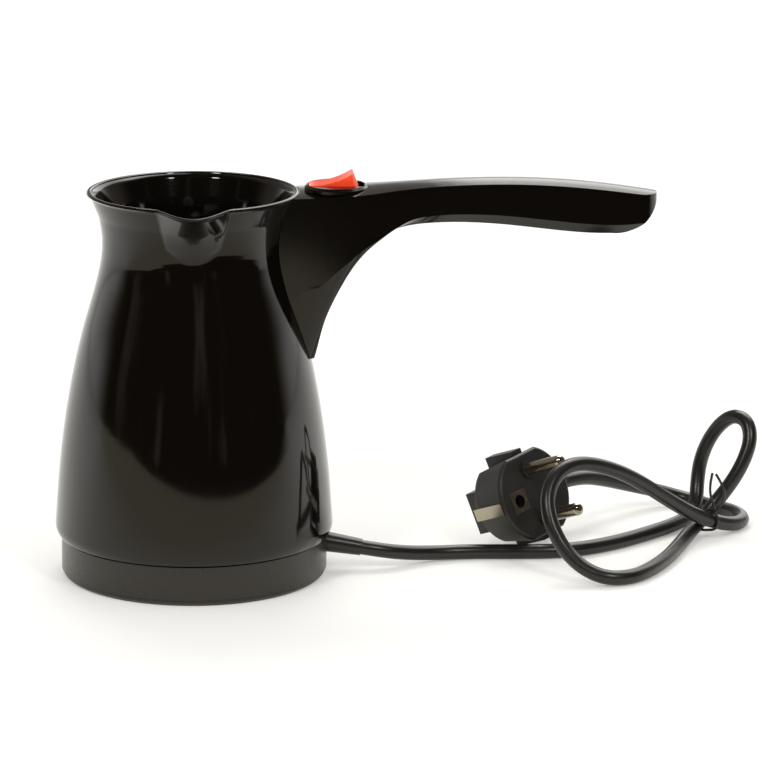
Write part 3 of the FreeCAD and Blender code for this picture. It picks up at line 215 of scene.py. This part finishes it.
def makeTie(strand):
    curve = tubeCurve("cordTie", windTie(strand), tie["radius"], tie["smoothness"],
                      tie["roundness"])
    mesh = bpy.data.meshes.new_from_object(bpy.data.objects.new("tieLine", curve))
    bpy.data.curves.remove(curve)
    piece = bpy.data.objects.new("cordTie", mesh)
    scene.collection.objects.link(piece)
    selectOnly(piece)
    bpy.ops.object.mode_set(mode="EDIT")
    bpy.ops.mesh.select_all(action="SELECT")
    bpy.ops.mesh.remove_doubles(threshold=tie["mergeWithin"])
    bpy.ops.mesh.normals_make_consistent(inside=False)
    bpy.ops.object.mode_set(mode="OBJECT")
    bpy.ops.object.shade_smooth()
    standFor(piece, "cord_tie")
    return piece


mainsLead = makeLead()
cordTie = makeTie(mainsLead)
print("lead laid:", len(lead["points"]), "points")

# the jug is turned in one piece from the outline of its solid, and its spout is then drawn forward
jug = {
    "wall": 0.002,
    "rim": 0.142,
    "rimRadius": 0.0384,
    "rimRound": 0.0007,
    "rimTurns": (0, 30, 60, 90),
    "columns": 360,
    "floorTop": 0.0304,
    "floorUnder": 0.028,
    "floorOpening": 0.0369,
    "rowGap": 0.0005,
    "innerFrom": 0.6,
    "mergeWithin": 0.000004,
    "sharpAngle": 38,
}

# which of the solid's vertices give the outline: those in the wedge at the back, on its outer side
outlineRows = {
    "wedge": 2.2,
    "lowest": 0.0145,
    "digits": 5,
    "reach": 0.006,
    "dip": 0.0016,
}

# widths as shares of the half width at the rim, and powers that shape the scoop
spout = {
    "foot": 0.1215,
    "reach": 0.0105,
    "drop": 0.0009,
    "halfWidth": 0.0136,
    "footWidth": 0.62,
    "footShare": 0.28,
    "climb": 1.25,
    "edgeAtFoot": 0.75,
    "edgeGrowth": 0.75,
    "rowStep": 0.0006,
    "rows": 36,
    "rowsBelow": 0.002,
    "joinBelow": 0.003,
}

duct = {
    "depth": 0.007,
    "halfAngle": 9.0,
    "angleSlack": 0.001,
    "top": 0.13,
    "ledge": 0.00002,
}


def jugOutline():
    # height and radius, from the back of the jug where nothing stands on it
    rows = {}
    for vertex in nodes["jug_shell"].data.vertices:
        x, y, z = vertex.co
        if y > outlineRows["wedge"] * abs(x) and z > outlineRows["lowest"]:
            level = round(z, outlineRows["digits"])
            rows[level] = max(rows.get(level, 0.0), math.hypot(x, y))
    kept = []
    for level in sorted(rows):
        widest = max(rows[other] for other in rows if abs(other - level) < outlineRows["reach"])
        if rows[level] > widest - outlineRows["dip"]:
            kept.append((level, rows[level]))
    return kept


def radiusAt(outline, height):
    for (low, lowRadius), (high, highRadius) in zip(outline, outline[1:]):
        if height <= high:
            return lowRadius + (highRadius - lowRadius) * (height - low) / (high - low)
    return outline[-1][1]


def spoutShift(x, height):
    # how far forward the wall is drawn: a wide scoop with a rounded foot
    share = (height - spout["foot"]) / (jug["rim"] - spout["foot"])
    if share <= 0:
        return 0.0
    opened = min(1.0, share / spout["footShare"]) ** 0.5
    half = spout["halfWidth"] * (spout["footWidth"] * opened + (1 - spout["footWidth"]) * share)
    across = abs(x) / half
    if across >= 1:
        return 0.0
    edge = spout["edgeAtFoot"] + spout["edgeGrowth"] * share ** 2
    return spout["reach"] * share ** spout["climb"] * (1 - across ** 2) ** edge


def jugProfile(outline):
    # radius and height all the way round the wall's section: up outside, over the rim, down inside
    wall, curl, rim = jug["wall"], jug["rimRound"], jug["rim"]
    floorTop, floorUnder = jug["floorTop"], jug["floorUnder"]
    low = [z for z, radius in outline if z < spout["foot"] - spout["joinBelow"]]
    start = spout["foot"] - spout["rowsBelow"]
    heights = low + [start + spout["rowStep"] * row for row in range(spout["rows"])]
    outer = [(radiusAt(outline, z), z) for z in heights]
    bend = [(curl * math.cos(math.radians(turn)), curl * math.sin(math.radians(turn)))
            for turn in jug["rimTurns"]]
    outside = [(jug["rimRadius"] - curl + across, rim - curl + rise) for across, rise in bend]
    inside = [(jug["rimRadius"] - wall + curl - across, rim - curl + rise)
              for across, rise in reversed(bend)]

    def innerWall(levels):
        return [(radiusAt(outline, z) - wall, z) for z in sorted(levels, reverse=True)]

    step = [duct["top"] - duct["ledge"], duct["top"] + duct["ledge"]]
    inner = innerWall([z for z in heights if z > floorTop + jug["rowGap"]] + step)
    ledge = innerWall([floorTop]) + [(jug["floorOpening"], floorTop),
                                     (jug["floorOpening"], floorUnder)] + innerWall([floorUnder])
    under = innerWall([z for z in low if z < floorUnder - jug["rowGap"]])
    return outer + outside + inside + inner + ledge + under


def drawSpoutAndDuct(shell, outline):
    ductEdge = math.radians(duct["halfAngle"]) + duct["angleSlack"]
    for vertex in shell.data.vertices:
        x, y, z = vertex.co
        isInner = (math.hypot(x, y) < radiusAt(outline, z) - jug["innerFrom"] * jug["wall"]
                   and z > jug["floorTop"] + jug["rowGap"] / 2)
        if isInner and z < duct["top"] and abs(math.atan2(y, x)) < ductEdge:
            vertex.co.x -= duct["depth"]
        if y < 0:
            shift = spoutShift(x, z)
            vertex.co.y -= shift
            vertex.co.z -= spout["drop"] * shift / spout["reach"]


def makeJug():
    outline = jugOutline()
    profile = jugProfile(outline)
    count = len(profile)
    mesh = bpy.data.meshes.new("jugShell")
    mesh.from_pydata([(0.0, radius, z) for radius, z in profile],
                     [(row, (row + 1) % count) for row in range(count)], [])
    shell = bpy.data.objects.new("jugShell", mesh)
    scene.collection.objects.link(shell)
    selectOnly(shell)
    bpy.ops.object.mode_set(mode="EDIT")
    bpy.ops.mesh.select_all(action="SELECT")
    bpy.ops.mesh.spin(steps=jug["columns"], angle=2 * math.pi, center=(0, 0, 0), axis=(0, 0, 1))
    bpy.ops.mesh.select_all(action="SELECT")
    bpy.ops.mesh.remove_doubles(threshold=jug["mergeWithin"])
    bpy.ops.mesh.normals_make_consistent(inside=False)
    bpy.ops.object.mode_set(mode="OBJECT")
    drawSpoutAndDuct(shell, outline)
    bpy.ops.object.shade_smooth_by_angle(angle=math.radians(jug["sharpAngle"]))
    standFor(shell, "jug_shell")
    return shell


jugShell = makeJug()
print("jug turned:", len(jugShell.data.polygons), "faces")


class Signal:
    # one output of a node, so that shader maths reads as plain maths
    def __init__(self, graph, socket):
        self.graph = graph
        self.socket = socket

    def maths(self, operation, first, second):
        return self.graph.node("Math", {"operation": operation}, {0: first, 1: second})

    def __add__(self, other):
        return self.maths("ADD", self, other)

    def __radd__(self, other):
        return self.maths("ADD", other, self)

    def __sub__(self, other):
        return self.maths("SUBTRACT", self, other)

    def __rsub__(self, other):
        return self.maths("SUBTRACT", other, self)

    def __mul__(self, other):
        return self.maths("MULTIPLY", self, other)

    def __rmul__(self, other):
        return self.maths("MULTIPLY", other, self)


class Graph:
    # the nodes of a material or of the world
    def __init__(self, tree):
        self.tree = tree

    def node(self, kind, settings, inputs, output=0):
        made = self.tree.nodes.new("ShaderNode" + kind)
        for name, value in settings.items():
            setattr(made, name, value)
        for name, value in inputs.items():
            self.feed(made.inputs[name], value)
        return Signal(self, made.outputs[output])

    def feed(self, socket, value):
        if isinstance(value, Signal):
            self.tree.links.new(value.socket, socket)
        else:
            socket.default_value = value

    def place(self, kind="Object"):
        return self.node("TexCoord", {}, {}, kind)

    def stretched(self, place, scale):
        return self.node("Mapping", {}, {"Vector": place, "Scale": scale})

    def noise(self, scale, detail=2.0, rough=0.5, place=None):
        where = place if place else self.place()
        return self.node("TexNoise", {}, {"Vector": where, "Scale": scale, "Detail": detail,
                                          "Roughness": rough})

    def apart(self, vector):
        made = self.tree.nodes.new("ShaderNodeSeparateXYZ")
        self.feed(made.inputs[0], vector)
        return [Signal(self, socket) for socket in made.outputs]

    def step(self, value, start, end, kind="SMOOTHSTEP"):
        # 0 at start and 1 at end, whichever is higher
        low, high = sorted((start, end))
        return self.node("MapRange", {"interpolation_type": kind},
                         {"Value": value, "From Min": low, "From Max": high,
                          "To Min": float(start > end), "To Max": float(end > start)})

    def mix(self, factor, first, second):
        return self.node("Mix", {"data_type": "RGBA"}, {"Factor": factor, 6: first, 7: second}, 2)

    def blend(self, factor, first, second):
        return self.node("MixShader", {}, {0: factor, 1: first, 2: second})

    def ray(self, kind):
        return self.node("LightPath", {}, {}, kind)

    def light(self, kind, tint, level):
        return self.node(kind, {}, {"Color": tint, "Strength": level})


class Finish(Graph):
    # a material round one Principled shader
    def __init__(self, name, settings):
        self.material = bpy.data.materials.new(name)
        self.material.use_nodes = True
        super().__init__(self.material.node_tree)
        self.shader = self.tree.nodes["Principled BSDF"]
        for socket, value in settings.items():
            self.shader.inputs[socket].default_value = value

    def set(self, socket, value):
        self.feed(self.shader.inputs[socket], value)

    def bump(self, height, strength, distance):
        self.set("Normal", self.node("Bump", {}, {"Height": height, "Strength": strength,
                                                  "Distance": distance}))


def colour(r, g, b):
    return (r, g, b, 1.0)


def toned(tone, share):
    return tuple(share * channel for channel in tone[:3]) + (1.0,)


# scales are in patches per metre and depths in metres
gloss = {
    "colour": colour(0.0024, 0.0018, 0.0012),
    "dust": colour(0.008, 0.007, 0.0055),
    "dustScale": 900.0,
    "dustFade": (0.62, 0.74),
    "dustShare": 0.35,
    "dustRough": 0.04,
    "rough": 0.045,
    "smearScale": 38.0,
    "smearRough": 0.05,
    "waveScale": 26.0,
    "waveStrength": 0.35,
    "waveDepth": 0.00004,
}


def glossPlastic(name, extraRough=0.0):
    # injection-moulded gloss plastic: faint flow waviness, light smears and a trace of dust
    finish = Finish(name, {"IOR": 1.5, "Specular IOR Level": 0.5})
    smear = finish.noise(scale=gloss["smearScale"], detail=3.0, rough=0.6)
    dust = finish.step(finish.noise(scale=gloss["dustScale"]), *gloss["dustFade"], "LINEAR")
    finish.set("Base Color", finish.mix(dust * gloss["dustShare"], gloss["colour"], gloss["dust"]))
    finish.set("Roughness", smear * gloss["smearRough"] + (gloss["rough"] + extraRough)
               + dust * gloss["dustRough"])
    waves = finish.noise(scale=gloss["waveScale"], detail=1.0, rough=0.4)
    finish.bump(waves, strength=gloss["waveStrength"], distance=gloss["waveDepth"])
    return finish.material


satin = {
    "ior": 1.48,
    "sheenScale": 22.0,
    "sheenRough": 0.1,
    "grainRough": 0.06,
    "grainStrength": 0.5,
    "paler": 1.35,
}


def satinPlastic(name, tone, rough, grain, depth):
    # spark-textured plastic: a fine even grain and slow changes of sheen
    finish = Finish(name, {"IOR": satin["ior"]})
    slow = finish.noise(scale=satin["sheenScale"], detail=3.0)
    fine = finish.noise(scale=grain, rough=0.6)
    finish.set("Base Color", finish.mix(slow, tone, toned(tone, satin["paler"])))
    smoothest = rough - satin["sheenRough"] / 2
    finish.set("Roughness", slow * satin["sheenRough"] + smoothest + fine * satin["grainRough"])
    finish.bump(fine, strength=satin["grainStrength"], distance=depth)
    return finish.material


metal = {
    "toneScale": 60.0,
    "darker": 0.78,
    "drawnRough": 0.16,
    "drawnStrength": 0.25,
    "drawnDepth": 0.00003,
}


def bareMetal(name, tone, rough, stretch=(40.0, 40.0, 400.0)):
    # worked metal: drawn lines in one direction and slightly uneven tone
    finish = Finish(name, {"Metallic": 1.0})
    place = finish.stretched(finish.place(), stretch)
    drawn = finish.noise(scale=1.0, detail=3.0, rough=0.6, place=place)
    slow = finish.noise(scale=metal["toneScale"])
    finish.set("Base Color", finish.mix(slow, tone, toned(tone, metal["darker"])))
    finish.set("Roughness", drawn * metal["drawnRough"] + (rough - metal["drawnRough"] / 2))
    finish.bump(drawn, strength=metal["drawnStrength"], distance=metal["drawnDepth"])
    return finish.material


# for each of these: two colours that change slowly into each other, the lowest roughness and how
# much it rises, and the surface's grain
vinyl = {
    "colours": (colour(0.0075, 0.007, 0.0062), colour(0.013, 0.0122, 0.011)),
    "scale": 70.0,
    "rough": 0.23,
    "roughRise": 0.16,
    "grainScale": 1800.0,
    "grainStrength": 0.3,
    "grainDepth": 0.00003,
}
rocker = {
    "colours": (colour(0.78, 0.045, 0.012), colour(0.9, 0.085, 0.022)),
    "scale": 160.0,
    "rough": 0.1,
    "roughRise": 0.1,
    "grainScale": 420.0,
    "grainStrength": 0.2,
    "grainDepth": 0.00003,
    # painted glow: emission strength that stands in for light coming through the rocker
    "glow": 0.12,
    "soft": 0.35,
    "softReach": 0.004,
    "softTint": (1.0, 0.25, 0.08),
}
glass = {
    "colours": (colour(0.95, 0.92, 0.88), colour(0.85, 0.8, 0.75)),
    "scale": 300.0,
    "rough": 0.02,
    "roughRise": 0.08,
    "clearness": 0.9,
    "ior": 1.45,
}
sleeve = {
    "colours": (colour(0.55, 0.53, 0.48), colour(0.86, 0.84, 0.8)),
    "scale": 900.0,
    "waver": 1.5,
    "rough": 0.7,
    "roughRise": 0.15,
    "ridgeStrength": 0.6,
    "ridgeDepth": 0.0001,
}


def leadVinyl(name):
    # soft PVC sheath: satin, with handling smears and a fine grain
    finish = Finish(name, {"IOR": 1.5})
    slow = finish.noise(scale=vinyl["scale"], detail=3.0, rough=0.6)
    finish.set("Base Color", finish.mix(slow, *vinyl["colours"]))
    finish.set("Roughness", slow * vinyl["roughRise"] + vinyl["rough"])
    finish.bump(finish.noise(scale=vinyl["grainScale"], detail=1.0),
                strength=vinyl["grainStrength"], distance=vinyl["grainDepth"])
    return finish.material


def rockerPlastic(name):
    # translucent orange-red moulding; its emission is a painted glow that stands in for light
    # shining through it from below
    finish = Finish(name, {"IOR": 1.5, "Subsurface Weight": rocker["soft"],
                           "Subsurface Scale": rocker["softReach"],
                           "Subsurface Radius": rocker["softTint"],
                           "Emission Strength": rocker["glow"]})
    slow = finish.noise(scale=rocker["scale"])
    tone = finish.mix(slow, *rocker["colours"])
    finish.set("Base Color", tone)
    finish.set("Emission Color", tone)
    finish.set("Roughness", slow * rocker["roughRise"] + rocker["rough"])
    finish.bump(finish.noise(scale=rocker["grainScale"]), strength=rocker["grainStrength"],
                distance=rocker["grainDepth"])
    return finish.material


def clearGlass(name):
    finish = Finish(name, {"Transmission Weight": glass["clearness"], "IOR": glass["ior"]})
    smear = finish.noise(scale=glass["scale"])
    finish.set("Base Color", finish.mix(smear, *glass["colours"]))
    finish.set("Roughness", smear * glass["roughRise"] + glass["rough"])
    return finish.material


def wovenSleeve(name):
    # braided glass fibre: slanting ridges
    finish = Finish(name, {})
    ridges = finish.node("TexWave", {"bands_direction": "DIAGONAL"},
                         {"Vector": finish.place(), "Scale": sleeve["scale"],
                          "Distortion": sleeve["waver"], "Detail": 1.0}, 1)
    finish.set("Base Color", finish.mix(ridges, *sleeve["colours"]))
    finish.set("Roughness", ridges * sleeve["roughRise"] + sleeve["rough"])
    finish.bump(ridges, strength=sleeve["ridgeStrength"], distance=sleeve["ridgeDepth"])
    return finish.material


# satin: tone, roughness, grain per metre and its depth in metres; metal: tone, roughness, stretch
satins = {
    "base_plastic": ("baseSatin", colour(0.017, 0.0152, 0.0125), 0.25, 900.0, 0.00003),
    "phenolic_black": ("phenolic", colour(0.02, 0.017, 0.014), 0.6, 1200.0, 0.00006),
    "terminal_nylon": ("naturalNylon", colour(0.68, 0.66, 0.58), 0.4, 700.0, 0.00003),
    "core_insulation": ("coreVinyl", colour(0.2, 0.09, 0.04), 0.4, 900.0, 0.00002),
    "seal_silicone": ("silicone", colour(0.6, 0.6, 0.57), 0.45, 500.0, 0.00003),
    "plug_vinyl": ("plugVinyl", colour(0.0095, 0.0088, 0.0078), 0.38, 2200.0, 0.00008),
    "tie_vinyl": ("tieVinyl", colour(0.012, 0.012, 0.012), 0.35, 1500.0, 0.00003),
}
metals = {
    "screw_steel": ("zincScrew", colour(0.6, 0.6, 0.58), 0.3),
    "stainless_plate": ("spunStainless", colour(0.62, 0.6, 0.57), 0.24, (300.0, 300.0, 20.0)),
    "pressed_steel": ("pressedSteel", colour(0.52, 0.52, 0.5), 0.36),
    "spreader_aluminium": ("castAluminium", colour(0.74, 0.74, 0.73), 0.45, (160.0, 160.0, 160.0)),
    "element_steel": ("heaterSheath", colour(0.28, 0.26, 0.24), 0.5),
    "terminal_brass": ("brass", colour(0.72, 0.56, 0.26), 0.3),
    "plated_pin": ("platedPin", colour(0.5, 0.45, 0.35), 0.2),
}
finishes = {
    "jug_plastic": glossPlastic("jugGloss"),
    "handle_plastic": glossPlastic("handleGloss", extraRough=0.03),
    "switch_nylon": glossPlastic("switchNylon", extraRough=0.12),
    "cord_vinyl": leadVinyl("leadVinyl"),
    "rocker_red": rockerPlastic("rockerRed"),
    "lamp_glass": clearGlass("lampGlass"),
    "glass_fibre_sleeve": wovenSleeve("braidedSleeve"),
}
finishes.update({slot: satinPlastic(*values) for slot, values in satins.items()})
finishes.update({slot: bareMetal(*values) for slot, values in metals.items()})

for entry in frame["record"]["subparts"]:
    piece = nodes[entry["node"]]
    piece.data.materials.clear()
    piece.data.materials.append(finishes[entry["material_slot"]])
mainsLead.data.materials.append(finishes["cord_vinyl"])
jugShell.data.materials.append(finishes["jug_plastic"])
cordTie.data.materials.append(finishes["tie_vinyl"])
print("finishes given:", len(finishes))

# the table: its own colour, and how gloss sees it, dimmer and warmer and only as far as its near
# edge, which runs slanting across y; fades are pairs of places, from 0 to 1, in metres
table = {
    "halfSize": 6.0,
    "colour": colour(0.93, 0.925, 0.9),
    "colourFar": colour(0.945, 0.94, 0.925),
    "glow": 0.22,
    "glowTint": colour(1.0, 1.0, 0.985),
    "mirrorTint": colour(1.0, 0.88, 0.68),
    "mirrorLevel": 0.72,
    "mirrorFade": (0.1, -0.25),
    "slant": 0.6,
    "edgeFade": (-0.57, -0.6),
    "beyondTint": colour(1.0, 0.8, 0.65),
}

# the room: an even dome lights the part, and gloss sees a dark room, a pale wall behind the table
# and a window to the right that reaches overhead; fades are on the direction's x, y and z
room = {
    "dark": 0.025,
    "darkTint": colour(1.0, 0.8, 0.62),
    "paleTint": colour(1.0, 0.985, 0.95),
    "paleAt": 0.5,
    "dome": 0.84,
    "domeTint": colour(1.0, 0.995, 0.98),
    "patches": 0.3,
    "patchScale": (5.0, 3.0, 2.2),
    "patchFade": (0.55, 0.8),
    "wall": 0.22,
    "wallFade": (-0.1, 0.35),
    "wallFoot": 0.8,
    "wallFootFade": (0.2, 0.03),
    "window": 2.0,
    "windowLeft": (0.005, 0.06),
    "windowRight": (0.7, 0.55),
    "windowBack": (0.05, 0.3),
    "windowSill": (0.13, 0.19),
    "skylight": 1.6,
    "skylightFade": (0.6, 0.85),
}

# place, size and power of each lamp
lamps = [
    ((-0.95, -1.55, 1.7), (0.34, 0.5), 14.0),
    ((0.95, -1.65, 1.7), (0.26, 0.45), 11.0),
    ((0.0, 1.6, 2.4), (1.6, 1.0), 26.0),
]
lampTint = (1.0, 0.97, 0.92)
lampAim = (0.05, 0.0, 0.05)


def makeFloor():
    bpy.ops.object.select_all(action="DESELECT")
    bpy.ops.mesh.primitive_plane_add(size=2 * table["halfSize"], location=(0, 0, 0))
    floor = bpy.context.active_object
    floor.name = "studioFloor"
    finish = Finish("studioFloor", {"Roughness": 0.75, "Specular IOR Level": 0.2})
    finish.set("Base Color", finish.mix(finish.noise(scale=3.0), table["colour"],
                                        table["colourFar"]))
    x, y, z = finish.apart(finish.place())
    beyond = finish.step(y - x * table["slant"], *table["edgeFade"])
    glow = finish.light("Emission", table["glowTint"], 1.0)
    top = finish.light("Emission", table["mirrorTint"], table["mirrorLevel"])
    dark = finish.light("Emission", table["beyondTint"], room["dark"])
    pale = finish.blend(finish.ray("Is Camera Ray") * table["glow"],
                        Signal(finish, finish.shader.outputs[0]), glow)
    mirrored = finish.ray("Is Glossy Ray") * finish.step(y, *table["mirrorFade"])
    whole = finish.blend(mirrored, pale, finish.blend(beyond, top, dark))
    finish.feed(finish.tree.nodes["Material Output"].inputs["Surface"], whole)
    floor.data.materials.append(finish.material)


def makeWorld():
    world = bpy.data.worlds.new("studioWorld")
    scene.world = world
    world.use_nodes = True
    sky = Graph(world.node_tree)
    sky.tree.nodes.clear()
    where = sky.place("Generated")
    side, depth, height = sky.apart(where)
    blotches = sky.noise(scale=1.0, place=sky.stretched(where, room["patchScale"]))
    patches = sky.step(blotches, *room["patchFade"]) * room["patches"]
    foot = sky.step(height, *room["wallFootFade"]) * room["wallFoot"]
    window = sky.step(side, *room["windowLeft"]) * sky.step(side, *room["windowRight"])
    window = window * sky.step(depth, *room["windowBack"]) * sky.step(height, *room["windowSill"])
    window = window * (sky.step(height, *room["skylightFade"]) * room["skylight"] + 1.0)
    behind = sky.step(depth, *room["wallFade"])
    level = patches + room["dark"] + behind * (room["wall"] + foot + window * room["window"])
    tint = sky.mix(sky.step(level, 0.0, room["paleAt"]), room["darkTint"], room["paleTint"])
    gleam = sky.light("Background", tint, level)
    dome = sky.light("Background", room["domeTint"], room["dome"])
    white = sky.light("Background", colour(1.0, 1.0, 1.0), 1.0)
    lit = sky.blend(sky.ray("Is Glossy Ray"), dome, gleam)
    out = sky.tree.nodes.new("ShaderNodeOutputWorld")
    sky.feed(out.inputs["Surface"], sky.blend(sky.ray("Is Camera Ray"), lit, white))


def makeLamps():
    for number, (place, size, power) in enumerate(lamps):
        data = bpy.data.lights.new("softLamp" + str(number), "AREA")
        data.shape = "ELLIPSE"
        data.size, data.size_y = size
        data.energy = power
        data.color = lampTint
        lamp = bpy.data.objects.new(data.name, data)
        scene.collection.objects.link(lamp)
        lamp.location = place
        aim = Vector(lampAim) - Vector(place)
        lamp.rotation_euler = aim.to_track_quat("-Z", "Y").to_euler()


makeFloor()
makeWorld()
makeLamps()
print("studio ready")

bpy.context.view_layer.update()
